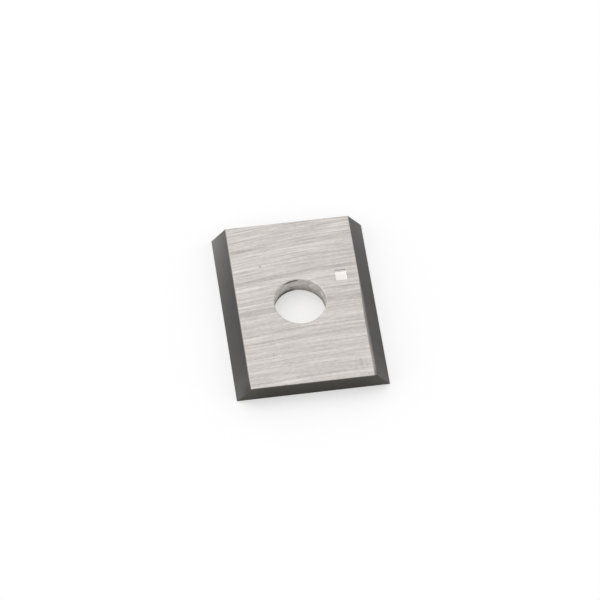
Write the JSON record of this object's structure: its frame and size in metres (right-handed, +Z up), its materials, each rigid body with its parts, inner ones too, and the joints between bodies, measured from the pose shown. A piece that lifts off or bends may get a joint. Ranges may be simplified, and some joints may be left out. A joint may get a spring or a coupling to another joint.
{
  "type": "carbide insert",
  "caption": "Rectangular reversible carbide cutting insert with a bevelled flank along each long side, a plain screw hole in the middle and a square index mark.",
  "frame": {"origin": "centre of the screw hole on the rake face, which is the larger flat face and lies on the floor", "axes": "+X across the plate towards the side with the index mark, +Y along the cutting edges, +Z up along the screw hole from the rake face to the back face"},
  "size_m": [0.012, 0.015, 0.0015],
  "materials": {
    "ground_carbide": "ground tungsten carbide, pale with fine grinding lines on the flat faces and dark grey on the flanks and ends"
  },
  "bodies": {
    "root": {"insert": "ground_carbide"}
  },
  "joints": []
}
